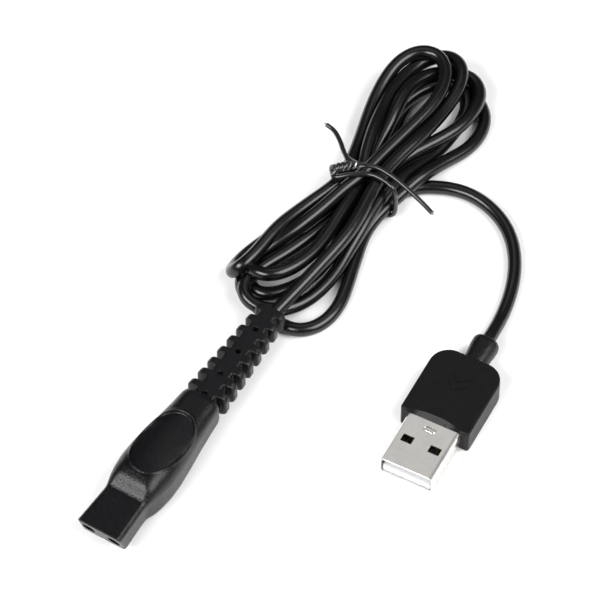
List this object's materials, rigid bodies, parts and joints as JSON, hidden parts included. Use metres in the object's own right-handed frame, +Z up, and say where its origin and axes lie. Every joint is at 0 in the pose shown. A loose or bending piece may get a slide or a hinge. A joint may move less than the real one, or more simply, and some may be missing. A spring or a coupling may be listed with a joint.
{
  "type": "beard trimmer charging lead",
  "caption": "Charging lead for a beard trimmer: a two-pole connector with a ribbed strain relief, a thin black cord folded into a hank under a twist tie, and a USB type A plug.",
  "frame": {"origin": "on the table below the middle of the trimmer connector's bounding box, the cord and what is on it left out", "axes": "+Y along the trimmer connector from its mouth towards its cord, +X towards the side where the USB plug lies, +Z up from the table"},
  "size_m": [0.0667, 0.1466, 0.0126],
  "materials": {
    "satin_black": "satin, fine spark-eroded texture",
    "usb_black": "matt, fine texture",
    "cord_black": "gloss, flexible PVC",
    "tie_black": "gloss, flexible PVC",
    "white_plastic": "semi-gloss",
    "polythene": "matt",
    "nickel_shell": "nickel plated, fine brushed",
    "gold_contact": "gold plated, polished",
    "brass_sleeve": "turned",
    "red_wire": "semi-gloss",
    "black_wire": "semi-gloss",
    "tie_steel": "drawn"
  },
  "bodies": {
    "root": {"plug_housing": "satin_black", "strain_relief": "satin_black", "contact_carrier": "white_plastic", "contact_sleeve_left": "brass_sleeve", "contact_sleeve_right": "brass_sleeve", "plug_wire_positive": "red_wire", "plug_wire_negative": "black_wire", "plug_inner_mould": "polythene", "usb_shell": "nickel_shell", "usb_tongue": "white_plastic", "usb_contact_vbus": "gold_contact", "usb_contact_data_minus": "gold_contact", "usb_contact_data_plus": "gold_contact", "usb_contact_ground": "gold_contact", "usb_wire_positive": "red_wire", "usb_wire_negative": "black_wire", "usb_inner_mould": "polythene", "usb_overmould": "usb_black", "usb_cord_grommet": "usb_black", "cord_trimmer_end": "cord_black", "cord_hank": "cord_black", "cord_usb_end": "cord_black", "twist_tie_coat": "tie_black", "twist_tie_wire": "tie_steel"}
  },
  "joints": []
}
